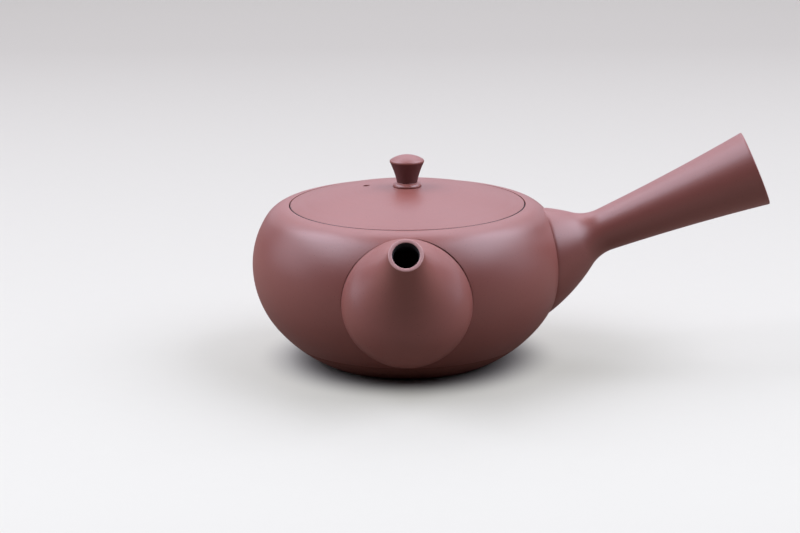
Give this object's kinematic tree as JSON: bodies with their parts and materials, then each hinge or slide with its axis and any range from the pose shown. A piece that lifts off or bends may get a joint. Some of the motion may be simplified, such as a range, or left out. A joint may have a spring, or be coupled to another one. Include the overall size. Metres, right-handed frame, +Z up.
{
  "type": "side-handled teapot",
  "caption": "Unglazed clay teapot with a round belly, short rising spout, built-in strainer, flared hollow side handle and a domed lift-off lid with a knob.",
  "frame": {"origin": "centre of the flat base, on the surface that the pot stands on", "axes": "+Z up along the pot's axis, -Y the way the spout points, +X the way the side handle leans out"},
  "size_m": [0.1793, 0.1354, 0.0785],
  "materials": {
    "clay": "unglazed red-brown clay, burnished to a soft satin sheen"
  },
  "bodies": {
    "pot": {"body": "clay", "spout": "clay", "strainer": "clay", "handle": "clay"},
    "lid": {"lid": "clay", "knob": "clay"}
  },
  "joints": [
    {"name": "lid_lift", "type": "slide", "parent": "pot", "child": "lid", "axis": [0, 0, 1], "range_m": [0, 0.09]}
  ]
}
